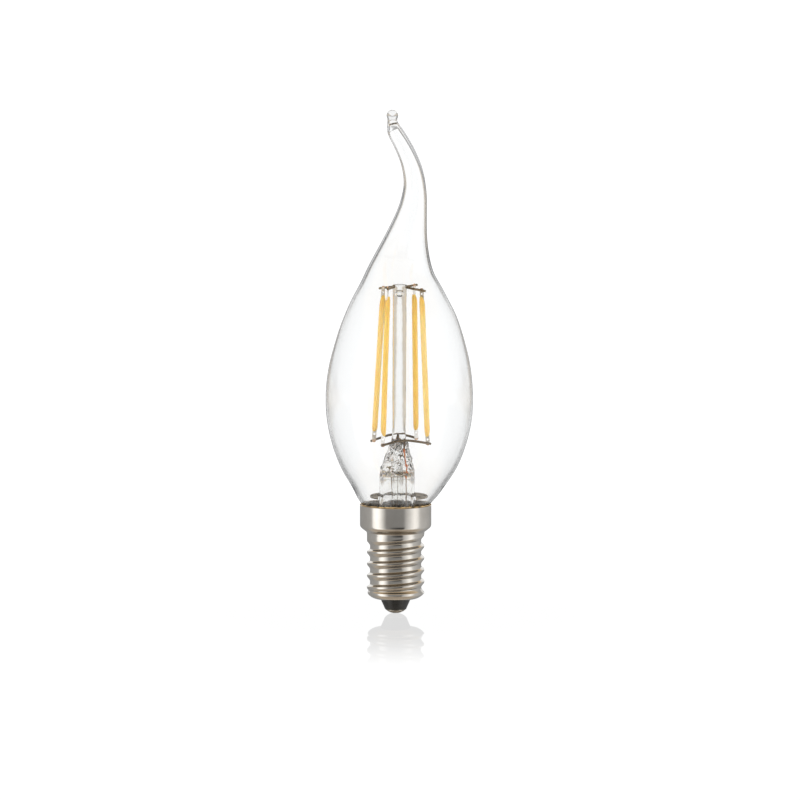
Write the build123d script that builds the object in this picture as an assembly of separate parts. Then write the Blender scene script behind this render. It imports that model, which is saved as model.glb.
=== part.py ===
from build123d import *
import math
import os

# Candle light bulb: clear blown envelope with a bent tip, four filament strips on a
# glass stem, and a 14 mm screw cap with a 17 mm skirt. Millimetres. Origin at the end of
# the centre contact, on the cap's axis; +Z runs up the cap's axis to the glass tip.

# ---------------------------------------------------------------- driving dimensions
OVERALL_HEIGHT = 120.1          # contact to tip of the glass bead
THREAD_CREST_R = 6.85           # 14 mm lamp cap thread, crest radius
THREAD_DEPTH = 0.75
THREAD_PITCH = 2.822
THREAD_PHASE_Z = 4.80           # height of a crest on the +X side
SHELL_WALL = 0.30
SHELL_BOTTOM_Z = 3.40
SHELL_LIP_R = 3.85
SKIRT_R = 8.50
SKIRT_BOTTOM_Z = 19.45
SKIRT_TOP_Z = 25.95

CONTACT_R = 2.35
CONTACT_Z = 0.80                # underside of the contact plate
INSULATOR_END_R = 2.55
INSULATOR_END_Z = 0.95

NECK_WALL = 0.60
GLASS_WALL = 0.42
TAIL_WALL = 0.32
BEAD_R = 1.37
BEAD_AT = (-0.76, OVERALL_HEIGHT - 1.37)     # x, z

# envelope sections: x of the centre, z, outer radius, lean of the section (degrees, to +X)
ENVELOPE = [
    (0.00, 21.00, 7.40, 0), (0.00, 22.60, 7.42, 0), (0.01, 24.20, 7.54, 0),
    (0.05, 25.60, 7.86, 0), (0.18, 27.10, 8.90, 0), (0.48, 29.10, 10.25, 0),
    (0.64, 31.00, 11.42, 0), (0.72, 33.00, 12.73, 0), (0.79, 35.40, 14.03, 0),
    (0.83, 38.60, 15.33, 0), (0.86, 42.50, 16.50, 0), (0.88, 46.30, 17.22, 0),
    (0.89, 51.00, 17.52, 0), (0.91, 55.80, 17.26, 0), (0.98, 60.00, 16.62, 0),
    (1.05, 64.00, 15.62, 0), (1.09, 68.00, 14.42, 0), (1.11, 72.00, 12.88, 0),
    (1.12, 75.40, 11.24, 1), (1.19, 78.80, 9.44, 2), (1.33, 82.00, 7.86, 6),
    (1.79, 85.30, 6.50, 9), (2.36, 88.30, 5.46, 11), (2.96, 91.20, 4.60, 12),
    (3.58, 94.05, 3.90, 11.5), (4.12, 96.90, 3.34, 9), (4.47, 99.75, 2.93, 4),
    (4.49, 102.65, 2.58, -4), (4.06, 105.50, 2.39, -13), (3.20, 108.35, 2.21, -21),
    (1.94, 111.20, 2.07, -27), (0.64, 113.60, 1.95, -29), (-0.27, 115.25, 1.77, -26),
    (-0.62, 116.45, 1.44, -14), (-0.76, 117.45, 1.16, -4),
]
CAVITY_END = (-0.60, 116.75, 0.80, -12)      # flat end of the hollow under the bead

STEM_X = 0.34                   # axis of the stem tube
STEM_R = 4.20
STEM_WALL = 0.85
PRESS_TOP_Z = 41.20
FLARE_FOOT_Z = 21.40
EXHAUST_R = 1.50
EXHAUST_BORE_R = 0.75
EXHAUST_END_Z = 18.20
VENT_R = 0.62

DISC_R = 6.88                   # thin disc round the stem at the neck, slotted in front so that it slides on
DISC_HOLE_R = 4.30
DISC_T = 0.30
DISC_SLOT = 8.90                 # width of its slot
DISC_AT = (0.785, 27.75)         # x of its centre, z of its underside

COLUMN_FOOT = (0.78, 0.0, 41.20)
COLUMN_HEAD = (0.97, 0.0, 78.50)
COLUMN_R = 1.63
HEAD_HOLLOW_R = 0.70             # bubble left in the melted head
HEAD_HOLLOW_DOWN = 2.05         # its centre, below the head

WIRE_R = 0.28
LEAD_R = 0.22
SEAL_R = 0.18
THIN_LEAD_R = 0.14

# filament ends, where the tabs cross the wires
FILAMENT_TOP = [(-2.64, 2.61, 77.66), (-1.40, -4.35, 77.95), (3.90, 4.35, 77.95), (5.96, -2.61, 77.50)]
FILAMENT_FOOT = [(-5.13, 3.92, 41.02), (-2.87, -6.51, 40.93), (4.73, 6.51, 41.18), (7.70, -3.92, 41.05)]
PHOSPHOR_W = 1.34
PHOSPHOR_T = 1.04
PHOSPHOR_START = [2.10, 2.10, 2.00, 1.55]   # from the foot weld to the coating
PHOSPHOR_STOP = [1.75, 1.95, 2.10, 1.55]    # from the coating to the head weld
STRIP_W = 0.80
STRIP_T = 0.30
TAB_W = 0.95
TAB_T = 0.20
TAB_PAST = 0.48                 # how far a tab runs past its wire
TAB_HOLE_R = 0.26

BOARD_W, BOARD_T, BOARD_Z0, BOARD_Z1 = 9.0, 1.0, 6.95, 18.0

os.makedirs("parts", exist_ok=True)
V = Vector


def save(shape, name):
    solids = shape.solids()
    body = solids[0] if len(solids) == 1 else Compound(children=list(solids))
    export_step(body, f"parts/{name}.step")


def lathe(points, x=0.0):
    """Ring or disc turned about the vertical axis at x, from (r, z) points."""
    face = make_face(Polyline(*[(r, 0, z) for r, z in points], close=True))
    return Pos(x, 0, 0) * revolve(face, Axis.Z)


def ring_at(x, z, r, lean):
    a = math.radians(lean)
    plane = Plane(origin=(x, 0, z), x_dir=(0, 1, 0), z_dir=(math.sin(a), 0, math.cos(a)))
    return Wire(plane * Circle(r).edge())


def tube(points, radius, bend):
    """Round wire along a bent line."""
    points = [V(*p) for p in points]
    if len(points) == 2:
        path = Wire([Edge.make_line(points[0], points[1])])
    else:
        path = FilletPolyline(*points, radius=bend).wire()
    start = Plane(origin=path @ 0, z_dir=path % 0)
    return Solid.sweep(Wire(start * Circle(radius).edge()), path)


def column(foot, head, radius):
    foot, head = V(*foot), V(*head)
    plane = Plane(origin=foot, z_dir=(head - foot), x_dir=(0, 1, 0))
    return plane * Cylinder(radius, (head - foot).length, align=(Align.CENTER, Align.CENTER, Align.MIN))


# ---------------------------------------------------------------- cap shell
THREAD_MEAN_R = THREAD_CREST_R - THREAD_DEPTH / 2
THREAD_Z0, THREAD_Z1 = 4.85, 18.60
TURNS = 360 * (THREAD_Z1 - THREAD_Z0) / THREAD_PITCH
PHASE = math.radians(360 * (THREAD_Z0 - THREAD_PHASE_Z) / THREAD_PITCH)


def twisted(radius):
    """Rounded right-hand thread: an eccentric circle turned once per pitch."""
    centre = (THREAD_DEPTH / 2 * math.cos(PHASE), THREAD_DEPTH / 2 * math.sin(PHASE), THREAD_Z0)
    face = Face(Wire((Plane(origin=centre) * Circle(radius)).edge()))
    return Solid.extrude_linear_with_rotation(face, (0, 0, THREAD_Z0), (0, 0, THREAD_Z1 - THREAD_Z0), TURNS)


w = SHELL_WALL
rim_in = THREAD_MEAN_R - THREAD_DEPTH / 2 - w - 0.08
rim_out = THREAD_CREST_R + 0.03
threaded = twisted(THREAD_MEAN_R) - twisted(THREAD_MEAN_R - w)
bowl = lathe([
    (SHELL_LIP_R - w, SHELL_BOTTOM_Z), (SHELL_LIP_R, SHELL_BOTTOM_Z), (4.75, 3.50), (5.55, 3.78), (6.20, 4.20), (6.62, 4.62),
    (rim_out, 5.05), (rim_in, 5.05), (rim_in, 4.70), (5.30, 4.30), (4.60, 3.92), (SHELL_LIP_R - w, 3.75),
])
skirt = lathe([
    (rim_in, 18.40), (rim_out, 18.40), (rim_out, 19.30), (THREAD_CREST_R + 0.08, SKIRT_BOTTOM_Z), (7.10, 19.62), (7.45, 19.88),
    (7.85, 20.18), (8.15, 20.45), (8.36, 20.70), (SKIRT_R - 0.03, 20.95), (SKIRT_R, 21.25),
    (SKIRT_R, SKIRT_TOP_Z - 0.10), (SKIRT_R - 0.08, SKIRT_TOP_Z), (SKIRT_R - w + 0.04, SKIRT_TOP_Z),
    (SKIRT_R - w, SKIRT_TOP_Z - 0.06), (SKIRT_R - w, 21.20), (8.10, 20.90), (7.86, 20.65),
    (7.20, 20.40), (6.60, 20.00), (THREAD_CREST_R - w, 19.60), (THREAD_CREST_R - w, 18.65), (rim_in, 18.65),
])
cap_shell = threaded + bowl + skirt
save(cap_shell, "cap_shell")

# ---------------------------------------------------------------- insulator and contact
insulator = lathe([
    (0.95, INSULATOR_END_Z), (INSULATOR_END_R - 0.18, INSULATOR_END_Z), (INSULATOR_END_R, INSULATOR_END_Z + 0.12),
    (2.95, 1.95), (3.35, 2.85), (3.52, SHELL_BOTTOM_Z), (3.52, 3.75), (4.60, 4.30), (5.20, 4.85), (5.62, 5.60), (5.62, 6.60),
    (2.60, 6.60), (2.60, 4.60), (0.95, 4.60),
])
save(insulator, "cap_insulator")
contact = lathe([
    (0.45, CONTACT_Z), (CONTACT_R, CONTACT_Z), (CONTACT_R, INSULATOR_END_Z), (0.95, INSULATOR_END_Z),
    (0.95, 4.60), (1.55, 4.60), (1.55, 4.80), (0.45, 4.80),
])
save(contact, "centre_contact")
dome = [(0.0, 0.0), (0.55, 0.03), (1.10, 0.14), (1.60, 0.34), (2.00, 0.58), (2.20, CONTACT_Z), (0.45, CONTACT_Z), (0.45, 2.60), (0.0, 2.60)]
resistor_lead = tube([(0, 0, 1.6), (0, 0, 8.2)], 0.22, 0.3)
solder = lathe(dome) - resistor_lead
save(solder, "contact_solder")

# ---------------------------------------------------------------- envelope
def spline_through(knots, values):
    """Natural cubic spline; returns a function of the running length."""
    n = len(knots)
    h = [knots[i + 1] - knots[i] for i in range(n - 1)]
    low, diag, up, rhs = [0.0] * n, [1.0] * n, [0.0] * n, [0.0] * n
    for i in range(1, n - 1):
        low[i], diag[i], up[i] = h[i - 1], 2 * (h[i - 1] + h[i]), h[i]
        rhs[i] = 6 * ((values[i + 1] - values[i]) / h[i] - (values[i] - values[i - 1]) / h[i - 1])
    for i in range(1, n):
        f = low[i] / diag[i - 1]
        diag[i] -= f * up[i - 1]
        rhs[i] -= f * rhs[i - 1]
    m = [0.0] * n
    m[n - 1] = rhs[n - 1] / diag[n - 1]
    for i in range(n - 2, -1, -1):
        m[i] = (rhs[i] - up[i] * m[i + 1]) / diag[i]

    def value(t):
        i = 0
        while i < n - 2 and t > knots[i + 1]:
            i += 1
        a, b = (knots[i + 1] - t) / h[i], (t - knots[i]) / h[i]
        return a * values[i] + b * values[i + 1] + ((a ** 3 - a) * m[i] + (b ** 3 - b) * m[i + 1]) * h[i] ** 2 / 6

    return value


def evenly(sections, count):
    """The same smooth run of sections, spaced evenly along the outline."""
    knots = [0.0]
    for s, e in zip(sections, sections[1:]):
        knots.append(knots[-1] + math.hypot(e[1] - s[1], e[2] - s[2], e[0] - s[0]))
    curves = [spline_through(knots, [s[k] for s in sections]) for k in range(4)]
    return [tuple(c(knots[-1] * i / (count - 1)) for c in curves) for i in range(count)]


def wall_at(z):
    if z < 25:
        return NECK_WALL
    if z < 31:
        return NECK_WALL + (GLASS_WALL - NECK_WALL) * (z - 25) / 6
    if z < 82:
        return GLASS_WALL
    return GLASS_WALL + (TAIL_WALL - GLASS_WALL) * min(1.0, (z - 82) / 14)


NECK_END_Z = ENVELOPE[0][1]
below = Pos(0, 0, NECK_END_Z) * Box(40, 40, 30, align=(Align.CENTER, Align.CENTER, Align.MAX))
run_in = [(0.0, 15.5, ENVELOPE[0][2], 0), (0.0, 17.4, ENVELOPE[0][2], 0), (0.0, 19.2, ENVELOPE[0][2], 0)]
outer = Solid.make_loft([ring_at(*s) for s in evenly(run_in + ENVELOPE, 50)]) - below
bead = Pos(BEAD_AT[0], 0, BEAD_AT[1]) * Sphere(BEAD_R)
inner_keys = [(x, z, r - wall_at(z), lean) for x, z, r, lean in run_in + ENVELOPE if z < 115.5] + [CAVITY_END]
cavity = Solid.make_loft([ring_at(*s) for s in evenly(inner_keys, 50)])
envelope = (outer + bead) - cavity
save(envelope, "glass_envelope")

neck = [(r + abs(x) + 0.07, z) for x, z, r, lean in evenly(ENVELOPE, 700) if 21.6 < z < 26.0][::5]
cement = lathe([(SKIRT_R - w - 0.01, 21.60), (SKIRT_R - w - 0.01, SKIRT_TOP_Z - 0.05), (neck[-1][0] + 0.06, neck[-1][1] + 0.04)] + neck[::-1] + [(neck[0][0], 21.60)])
save(cement, "basing_cement")

# ---------------------------------------------------------------- leads and wires
front_lower = tube([(-3.35, -6.70, 40.80), (-2.10, -6.22, 41.10), (0.60, -5.40, 41.74), (2.60, -4.95, 41.88), (5.00, -4.55, 41.58), (8.34, -3.75, 40.92)], WIRE_R, 3.0)
rear_lower = tube([(-5.95, 4.05, 40.72), (-4.20, 3.90, 41.34), (-1.40, 4.40, 42.22), (0.80, 5.00, 42.34), (2.80, 5.70, 41.88), (5.30, 6.75, 41.05)], WIRE_R, 2.6)
upper_left = tube([(-3.87, 3.50, 77.24), (0.05, 0.25, 77.95), (-1.86, -5.55, 77.90)], WIRE_R, 0.60)
upper_right = tube([(6.98, -3.30, 77.18), (1.95, 0.05, 77.86), (5.10, 6.10, 77.78)], WIRE_R, 0.60)
front_inner = tube([(2.24, -5.00, 41.80), (2.10, -3.10, 40.55), (2.01, -2.41, 39.80)], LEAD_R, 0.55)
rear_inner = tube([(1.00, 5.04, 42.24), (0.95, 3.10, 40.65), (0.98, 1.95, 39.30), (1.00, 1.90, 38.70)], LEAD_R, 0.55)
front_inner = front_inner - front_lower
rear_inner = rear_inner - rear_lower
front_seal = tube([(2.01, -2.41, 39.80), (1.95, -1.95, 39.30), (1.95, -1.85, 38.20), (2.05, -1.75, 36.40), (2.40, -1.55, 34.60), (2.40, -1.50, 32.60)], SEAL_R, 1.5)
rear_seal = tube([(1.00, 1.90, 38.70), (0.90, 1.75, 36.40), (0.62, 1.80, 34.60), (0.60, 1.85, 32.60)], SEAL_R, 1.5)
front_outer = tube([(2.40, -1.50, 32.60), (2.42, -1.55, 26.0), (2.60, -1.30, 20.5), (2.60, -0.67, 18.9), (2.60, -0.67, 16.2)], THIN_LEAD_R, 0.5)
rear_outer = tube([(0.60, 1.85, 32.60), (0.45, 2.30, 26.0), (-2.40, 2.00, 20.8), (-2.60, -0.67, 19.3), (-2.60, -0.67, 16.4)], THIN_LEAD_R, 0.5)
wires = {
    "lower_front_wire": front_lower, "lower_rear_wire": rear_lower,
    "upper_left_wire": upper_left, "upper_right_wire": upper_right,
    "front_inner_lead": front_inner, "rear_inner_lead": rear_inner,
    "front_seal_wire": front_seal, "rear_seal_wire": rear_seal,
    "front_outer_lead": front_outer, "rear_outer_lead": rear_outer,
}
for name, wire in wires.items():
    save(wire, name)

# ---------------------------------------------------------------- glass stem
def oval(x, z, rx, ry):
    return Wire((Plane(origin=(x, 0, z)) * Ellipse(rx, ry)).edge())


# x of the centre, z, half width across (X), half width to the viewer (Y)
STEM_OUTER = [
    (0.00, FLARE_FOOT_Z, 6.55, 6.56), (0.03, 22.20, 6.30, 6.31), (0.12, 23.20, 5.62, 5.63), (0.22, 24.40, 4.98, 4.99),
    (0.30, 25.80, 4.50, 4.51), (STEM_X, 27.60, 4.22, 4.23), (STEM_X, 30.20, STEM_R, STEM_R + 0.01), (STEM_X, 32.40, STEM_R, STEM_R + 0.01),
    (STEM_X + 0.02, 34.00, 4.08, 4.18), (STEM_X + 0.10, 35.60, 3.62, 3.90), (STEM_X + 0.26, 37.40, 3.00, 3.56),
    (STEM_X + 0.40, 39.20, 2.52, 3.22), (STEM_X + 0.44, PRESS_TOP_Z, 1.95, 2.30),
]
STEM_INNER = [
    (0.00, 20.60, 6.10, 6.11), (0.01, FLARE_FOOT_Z, 5.62, 5.63), (0.06, 22.40, 5.02, 5.03), (0.16, 23.60, 4.34, 4.35), (0.26, 25.00, 3.82, 3.83),
    (STEM_X, 27.20, 3.42, 3.43), (STEM_X, 29.80, STEM_R - STEM_WALL, STEM_R - STEM_WALL + 0.01), (STEM_X, 32.00, STEM_R - STEM_WALL, STEM_R - STEM_WALL + 0.01),
    (STEM_X, 33.30, 3.05, 3.06), (STEM_X + 0.03, 34.10, 2.20, 2.21),
]
stem = Solid.make_loft([oval(*q) for q in evenly(STEM_OUTER, 26)]) - Solid.make_loft([oval(*q) for q in evenly(STEM_INNER, 22)])
vent = tube([(STEM_X + 0.03, 0.0, 33.6), (STEM_X - 0.05, -0.1, 35.7), (-3.3, -1.1, 38.3)], VENT_R, 0.8)   # way from the bulb to the exhaust tube
for wire in (vent, front_seal, rear_seal, front_inner, rear_inner):
    stem = stem - wire
save(stem, "stem_flare")

exhaust = lathe([
    (EXHAUST_BORE_R, 34.08), (EXHAUST_R, 34.08), (EXHAUST_R, 20.0), (1.15, 18.7), (0.45, EXHAUST_END_Z), (0, EXHAUST_END_Z),
    (0, 18.95), (0.35, 19.1), (EXHAUST_BORE_R, 20.2),
], STEM_X + 0.03)
save(exhaust, "exhaust_tube")

outline = Pos(DISC_AT[0], 0) * Circle(DISC_R) - Pos(STEM_X, 0) * Circle(DISC_HOLE_R) - Pos(STEM_X, 0.3 - DISC_R) * Rectangle(DISC_SLOT, 2 * DISC_R)
disc = Pos(0, 0, DISC_AT[1]) * extrude(outline, DISC_T)
save(disc, "neck_disc")

foot, head = V(*COLUMN_FOOT), V(*COLUMN_HEAD)
along = (head - foot).normalized()
post = column(COLUMN_FOOT, COLUMN_HEAD, COLUMN_R)
hollow = head - along * HEAD_HOLLOW_DOWN
post = post - Pos(*hollow) * Sphere(HEAD_HOLLOW_R)
for wire in (upper_left, upper_right, front_inner, rear_inner):
    post = post - wire
post = post - stem
save(post, "support_column")

# ---------------------------------------------------------------- filaments
tops = [(upper_left, V(-3.87, 3.50, 77.24), V(0.05, 0.25, 77.95)), (upper_left, V(-1.86, -5.55, 77.90), V(0.05, 0.25, 77.95)),
        (upper_right, V(5.10, 6.10, 77.78), V(1.95, 0.05, 77.86)), (upper_right, V(6.98, -3.30, 77.18), V(1.95, 0.05, 77.86))]
feet = [(rear_lower, V(-5.95, 4.05, 40.72), V(-4.20, 3.90, 41.34)), (front_lower, V(-3.35, -6.70, 40.80), V(-2.10, -6.22, 41.10)),
        (rear_lower, V(5.30, 6.75, 41.05), V(2.80, 5.70, 41.88)), (front_lower, V(8.34, -3.75, 40.92), V(5.00, -4.55, 41.58))]
SIDE_TOP = [-1, 1, -1, 1]       # which side of the wire each tab lies on: -1 nearer the viewer
SIDE_FOOT = [-1, 1, -1, 1]


def nearest(point, a, b):
    ab = b - a
    t = (point - a).dot(ab) / ab.dot(ab)
    return a + ab * t


def tab_plane(weld, axis, a, b, side):
    """Plane of a tab: x across (along the wire), y along the filament, z its thickness."""
    on_wire = nearest(weld, a, b)
    run = (b - a).normalized()
    normal = run.cross(axis).normalized()
    if normal.Y * side < 0:
        normal = normal * -1
    origin = on_wire + normal * (WIRE_R + TAB_T / 2 + 0.004)
    return origin, normal


for n in range(4):
    top, bottom = V(*FILAMENT_TOP[n]), V(*FILAMENT_FOOT[n])
    axis = (top - bottom).normalized()
    top_origin, top_normal = tab_plane(top, axis, tops[n][1], tops[n][2], SIDE_TOP[n])
    foot_origin, foot_normal = tab_plane(bottom, axis, feet[n][1], feet[n][2], SIDE_FOOT[n])
    line = top_origin - foot_origin
    length = line.length
    axis = line.normalized()
    facing = (top_normal + foot_normal * (1 if top_normal.dot(foot_normal) > 0 else -1)).normalized()
    across = facing.cross(axis).normalized()
    coat_len = length - PHOSPHOR_START[n] - PHOSPHOR_STOP[n]
    mid = foot_origin + axis * (PHOSPHOR_START[n] + coat_len / 2)
    body_plane = Plane(origin=mid, x_dir=axis, z_dir=axis.cross(across) * -1)
    slab = extrude(SlotOverall(coat_len, PHOSPHOR_W), amount=PHOSPHOR_T / 2, both=True)
    slab = fillet(slab.edges().filter_by(Plane.XY), PHOSPHOR_T * 0.46)
    coat = body_plane * slab
    strip = body_plane * Box(coat_len - 2.6, STRIP_W, STRIP_T)

    def tab(origin, normal, toward):
        plane = Plane(origin=origin, x_dir=toward.cross(normal) * -1, z_dir=normal)
        if (plane.y_dir - toward).length > 1:
            plane = Plane(origin=origin, x_dir=toward.cross(normal), z_dir=normal)
        reach = (PHOSPHOR_STOP[n] if toward.Z < 0 else PHOSPHOR_START[n]) + 1.1
        flat = Pos(0, (reach - TAB_PAST) / 2, 0) * Rectangle(TAB_W, reach + TAB_PAST)
        flat = fillet(flat.vertices().group_by(Axis.Y)[0], TAB_W * 0.46)
        hole = Pos(0, reach - 1.75, 0) * Circle(TAB_HOLE_R)
        return plane * extrude(flat - hole, amount=TAB_T / 2, both=True)

    upper = tab(top_origin, top_normal, axis * -1)
    lower = tab(foot_origin, foot_normal, axis)
    coat = coat - strip - upper - lower
    save(coat, f"filament_{n + 1}_phosphor")
    save(strip, f"filament_{n + 1}_strip")
    save(upper, f"filament_{n + 1}_upper_tab")
    save(lower, f"filament_{n + 1}_lower_tab")

# ---------------------------------------------------------------- driver inside the cap
sleeve = lathe([(5.05, 6.70), (5.35, 6.70), (5.35, 18.60), (5.05, 18.60)])
board = Pos(0, 0, (BOARD_Z0 + BOARD_Z1) / 2) * Box(BOARD_W, BOARD_T, BOARD_Z1 - BOARD_Z0)
front_face = -BOARD_T / 2
back_face = BOARD_T / 2
rectifier_body = Pos(-1.9, front_face - 0.75, 13.6) * fillet(Box(3.6, 1.5, 3.0).edges().filter_by(Axis.Y), 0.15)
rect_legs = [Pos(-1.9 + sx * 1.0, front_face - 0.10, 13.6 + sz * 1.95) * Box(0.6, 0.20, 0.95) for sx in (-1, 1) for sz in (-1, 1)]
chip_body = Pos(2.3, front_face - 0.6, 11.2) * Box(2.6, 1.2, 1.9)
chip_legs = [Pos(2.3 + sx * 0.9, front_face - 0.10, 11.2 + sz * 1.25) * Box(0.4, 0.20, 0.65) for sx in (-1, 0, 1) for sz in (-1, 1)]
capacitor = Pos(0.2, back_face + 1.95, 12.4) * (Cylinder(1.9, 6.4) - Pos(0, 0, 2.4) * (Cylinder(2.2, 0.5) - Cylinder(1.75, 0.5)))
capacitor = capacitor + [Pos(0.2 + s * 0.75, back_face + 0.60, 8.9) * Box(0.35, 1.2, 0.35) for s in (-1, 1)] + [Pos(0.2 + s * 0.75, back_face + 1.02, 9.05) * Box(0.35, 0.35, 0.65) for s in (-1, 1)]
resistor_body = Pos(0, -2.3, 8.6) * (Rot(0, 90, 0) * fillet(Cylinder(0.95, 3.4).edges(), 0.3))
resistor = resistor_body + tube([(0, 0, 1.6), (0, 0, 6.1), (-0.9, -1.3, 7.05), (-2.6, -2.3, 7.3), (-2.6, -2.3, 8.6), (-1.4, -2.3, 8.6)], 0.22, 0.30) + tube([(1.4, -2.3, 8.6), (2.5, -2.3, 8.6), (2.9, -0.5, 8.6)], 0.22, 0.4)
save(sleeve, "insulating_sleeve")
save(board, "driver_board")
save(rectifier_body + rect_legs, "rectifier")
save(chip_body + chip_legs, "driver_chip")
save(capacitor, "smoothing_capacitor")
save(resistor - board, "fusible_resistor")
save(Pos(-3.3, back_face + 0.28, 16.6) * Box(1.6, 0.56, 0.8), "sense_resistor_1")
save(Pos(2.9, back_face + 0.28, 16.6) * Box(1.6, 0.56, 0.8), "sense_resistor_2")
side_wire = tube([(3.6, -0.67, 15.4), (3.6, -0.67, 17.8), (4.1, -1.2, 18.95), (5.75, -2.775, 19.05)], 0.17, 0.40)
save(side_wire, "side_contact_wire")
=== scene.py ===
import bpy
import math
import numpy as np
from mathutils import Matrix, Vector, noise


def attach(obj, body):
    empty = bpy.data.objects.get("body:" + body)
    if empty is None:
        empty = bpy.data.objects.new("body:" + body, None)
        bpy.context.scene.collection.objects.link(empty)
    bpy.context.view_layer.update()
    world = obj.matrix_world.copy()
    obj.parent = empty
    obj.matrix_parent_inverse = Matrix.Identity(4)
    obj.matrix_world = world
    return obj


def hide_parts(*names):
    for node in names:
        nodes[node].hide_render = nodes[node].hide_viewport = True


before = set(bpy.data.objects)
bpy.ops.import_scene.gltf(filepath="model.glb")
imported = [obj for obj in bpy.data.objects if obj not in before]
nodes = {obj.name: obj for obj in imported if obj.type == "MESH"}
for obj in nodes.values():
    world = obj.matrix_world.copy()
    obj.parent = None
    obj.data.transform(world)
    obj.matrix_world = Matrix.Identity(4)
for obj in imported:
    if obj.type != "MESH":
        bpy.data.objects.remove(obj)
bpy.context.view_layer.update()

MM = 0.001
TAU = 2 * math.pi
scene = bpy.context.scene


# ------------------------------------------------------------------ mesh helpers (millimetres)
def spline(rows, count, dims=3):
    """count rows evenly along a natural cubic spline through the given rows."""
    p = np.array(rows, float)
    t = np.concatenate([[0.0], np.cumsum(np.linalg.norm(np.diff(p[:, :dims], axis=0), axis=1))])
    m, h = len(t), np.diff(t)
    a, b = np.zeros((m, m)), np.zeros((m, p.shape[1]))
    a[0, 0] = a[-1, -1] = 1
    for i in range(1, m - 1):
        a[i, i - 1], a[i, i], a[i, i + 1] = h[i - 1], 2 * (h[i - 1] + h[i]), h[i]
        b[i] = 6 * ((p[i + 1] - p[i]) / h[i] - (p[i] - p[i - 1]) / h[i - 1])
    s = np.linalg.solve(a, b)
    u = np.linspace(0, t[-1], count)
    k = np.clip(np.searchsorted(t, u, side="right") - 1, 0, m - 2)
    lo, hi = ((t[k + 1] - u) / h[k])[:, None], ((u - t[k]) / h[k])[:, None]
    return lo * p[k] + hi * p[k + 1] + ((lo ** 3 - lo) * s[k] + (hi ** 3 - hi) * s[k + 1]) * (h[k] ** 2)[:, None] / 6


def ease(lo, hi, x):
    t = np.clip((np.asarray(x, float) - lo) / (hi - lo), 0, 1)
    return t * t * (3 - 2 * t)


def wave(x, y, z):
    return noise.noise(Vector((x, y, z)))


def skin(loops, first=None, last=None, ring=False, hollow=False):
    """A closed skin over loops of points: a pole closes each end, or the last loop joins the first."""
    loops = np.asarray(loops, float)
    m, n = loops.shape[:2]
    v = loops.reshape(-1, 3)
    i = np.arange(m if ring else m - 1)[:, None]
    j = np.arange(n)[None, :]
    k = (i + 1) % m
    quads = np.stack([i * n + j, i * n + (j + 1) % n, k * n + (j + 1) % n, k * n + j], -1).reshape(-1, 4)
    q = v[quads]
    vol = np.einsum("ij,ij->i", q[:, 0], np.cross(q[:, 1], q[:, 2])).sum() + np.einsum("ij,ij->i", q[:, 0], np.cross(q[:, 2], q[:, 3])).sum()
    faces = quads.tolist()
    for pole, row, turn in ((first, 0, 1), (last, m - 1, 0)):
        if pole is None:
            continue
        v = np.vstack([v, np.asarray(pole, float)[None]])
        top = len(v) - 1
        for c in range(n):
            x, y = row * n + c, row * n + (c + 1) % n
            tri = [top, y, x] if turn else [top, x, y]
            faces.append(tri)
            vol += v[tri[0]].dot(np.cross(v[tri[1]], v[tri[2]]))
    if (vol < 0) != hollow:
        faces = [f[::-1] for f in faces]
    return v, faces


def piece(name, skins, material, replaced, sharp=38):
    verts, faces, base = [], [], 0
    for v, f in skins:
        verts.append(v)
        faces += [[c + base for c in face] for face in f]
        base += len(v)
    me = bpy.data.meshes.new(name)
    me.from_pydata((np.vstack(verts) * MM).tolist(), [], faces)
    me.shade_smooth()
    me.set_sharp_from_angle(angle=math.radians(sharp))
    me.materials.append(material)
    ob = bpy.data.objects.new(name, me)
    scene.collection.objects.link(ob)
    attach(ob, "root")
    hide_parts(*replaced)
    return ob


def turned(profile, n=96, at=(0.0, 0.0)):
    """Loops of a turned form from its (r, z) profile."""
    f = np.arange(n) * TAU / n
    return [np.stack([at[0] + r * np.cos(f), at[1] + r * np.sin(f), np.full(n, z)], -1) for r, z in profile]


def bent(points, corner, step=0.12):
    """Path along straight runs with each corner eased over the length corner."""
    p = [np.array(q, float) for q in points]
    path = [p[0]]
    for a, b, c in zip(p, p[1:], p[2:]):
        d1 = min(corner, np.linalg.norm(b - a) * 0.49)
        d2 = min(corner, np.linalg.norm(c - b) * 0.49)
        s, e = b + (a - b) / np.linalg.norm(a - b) * d1, b + (c - b) / np.linalg.norm(c - b) * d2
        for t in np.linspace(0, 1, 13):
            path.append((1 - t) ** 2 * s + 2 * t * (1 - t) * b + t * t * e)
    path.append(p[-1])
    path = np.array(path)
    keep = np.concatenate([[True], np.linalg.norm(np.diff(path, axis=0), axis=1) > 1e-6])
    path = path[keep]
    t = np.concatenate([[0], np.cumsum(np.linalg.norm(np.diff(path, axis=0), axis=1))])
    u = np.linspace(0, t[-1], max(8, int(t[-1] / step)))
    return np.stack([np.interp(u, t, path[:, c]) for c in range(3)], -1)


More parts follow.
